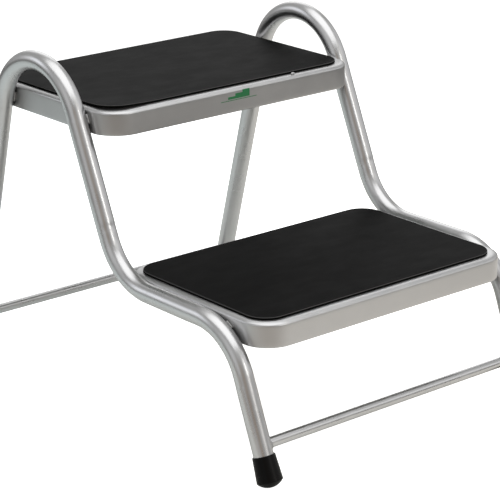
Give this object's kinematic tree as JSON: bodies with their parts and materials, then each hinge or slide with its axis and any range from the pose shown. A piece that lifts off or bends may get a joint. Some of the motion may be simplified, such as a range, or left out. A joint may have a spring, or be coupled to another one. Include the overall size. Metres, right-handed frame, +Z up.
{
  "type": "step stool",
  "caption": "Step stool with rubber-topped treads between bent tube sides, low cross rods, hand loops above the upper tread and rubber feet.",
  "frame": {"origin": "on the floor, in the middle of the box around the stool", "axes": "+Z up, -Y towards the front, where the lower tread is, and X across between the two side tubes"},
  "size_m": [0.4728, 0.6662, 0.4465],
  "materials": {
    "silver_coat": "satin silver powder coat on bent steel tube",
    "silver_sheet": "satin silver powder coat on pressed steel sheet",
    "coated_weld": "rippled weld bead under the silver coat",
    "mat_rubber": "matt black ribless rubber with a fine grain",
    "foot_rubber": "satin black moulded rubber",
    "mat_tape": "thin double-sided tape",
    "zinc_steel": "zinc-plated steel"
  },
  "bodies": {
    "root": {"foot_front_left": "foot_rubber", "foot_front_right": "foot_rubber", "foot_rear_left": "foot_rubber", "foot_rear_right": "foot_rubber", "foot_washer_front_left": "zinc_steel", "foot_washer_front_right": "zinc_steel", "foot_washer_rear_left": "zinc_steel", "foot_washer_rear_right": "zinc_steel", "front_cross_rod": "silver_coat", "front_rod_welds": "coated_weld", "lower_mat": "mat_rubber", "lower_mat_adhesive": "mat_tape", "lower_tray": "silver_sheet", "lower_tray_welds": "coated_weld", "rear_cross_rod": "silver_coat", "rear_rod_welds": "coated_weld", "side_tube_left": "silver_coat", "side_tube_right": "silver_coat", "upper_mat": "mat_rubber", "upper_mat_adhesive": "mat_tape", "upper_tray": "silver_sheet", "upper_tray_welds": "coated_weld"}
  },
  "joints": []
}
